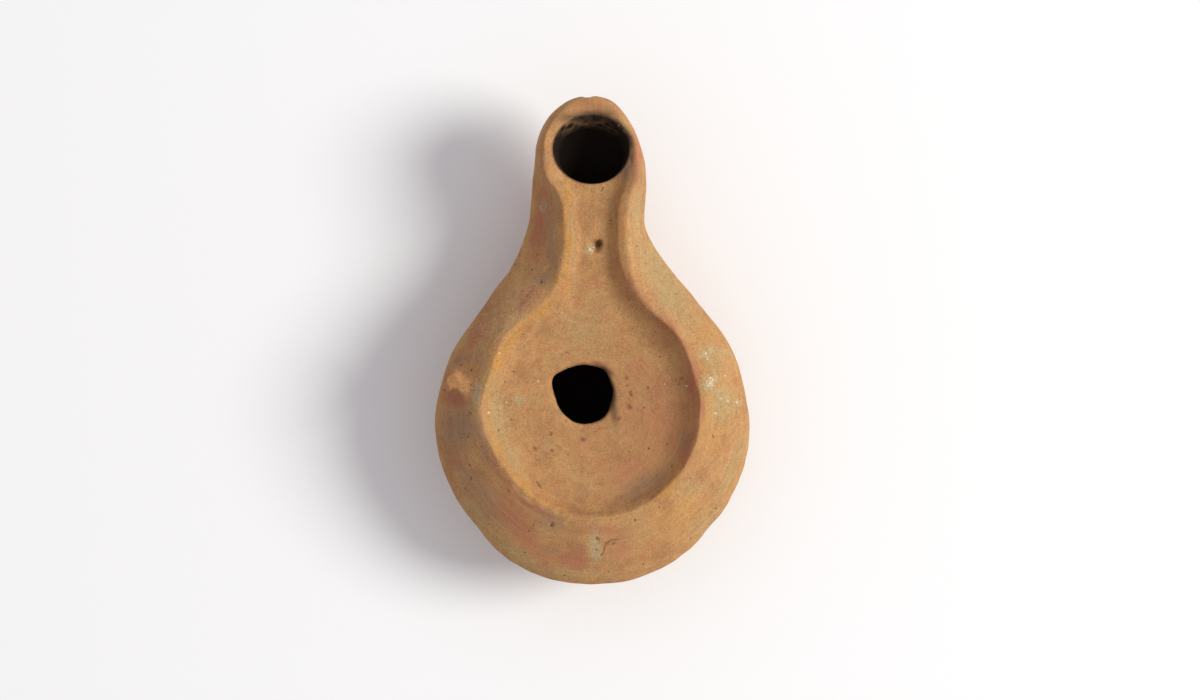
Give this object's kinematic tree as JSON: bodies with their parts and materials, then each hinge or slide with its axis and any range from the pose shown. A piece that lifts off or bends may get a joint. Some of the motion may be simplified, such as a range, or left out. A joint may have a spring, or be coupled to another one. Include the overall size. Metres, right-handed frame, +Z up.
{
  "type": "roman oil lamp",
  "caption": "Mould-made fired-clay oil lamp with a round sunken disc, a filling hole, and an open channel to the wick hole in its nozzle.",
  "frame": {"origin": "middle of the flat base that the lamp stands on", "axes": "+Z up, +Y from the body towards the nozzle, +X to the right seen from above with the nozzle pointing away"},
  "size_m": [0.0621, 0.0962, 0.0266],
  "materials": {
    "fired_clay": "matt, bare fired clay, worn and stained with earth and soot"
  },
  "bodies": {
    "root": {"lamp_body": "fired_clay"}
  },
  "joints": []
}
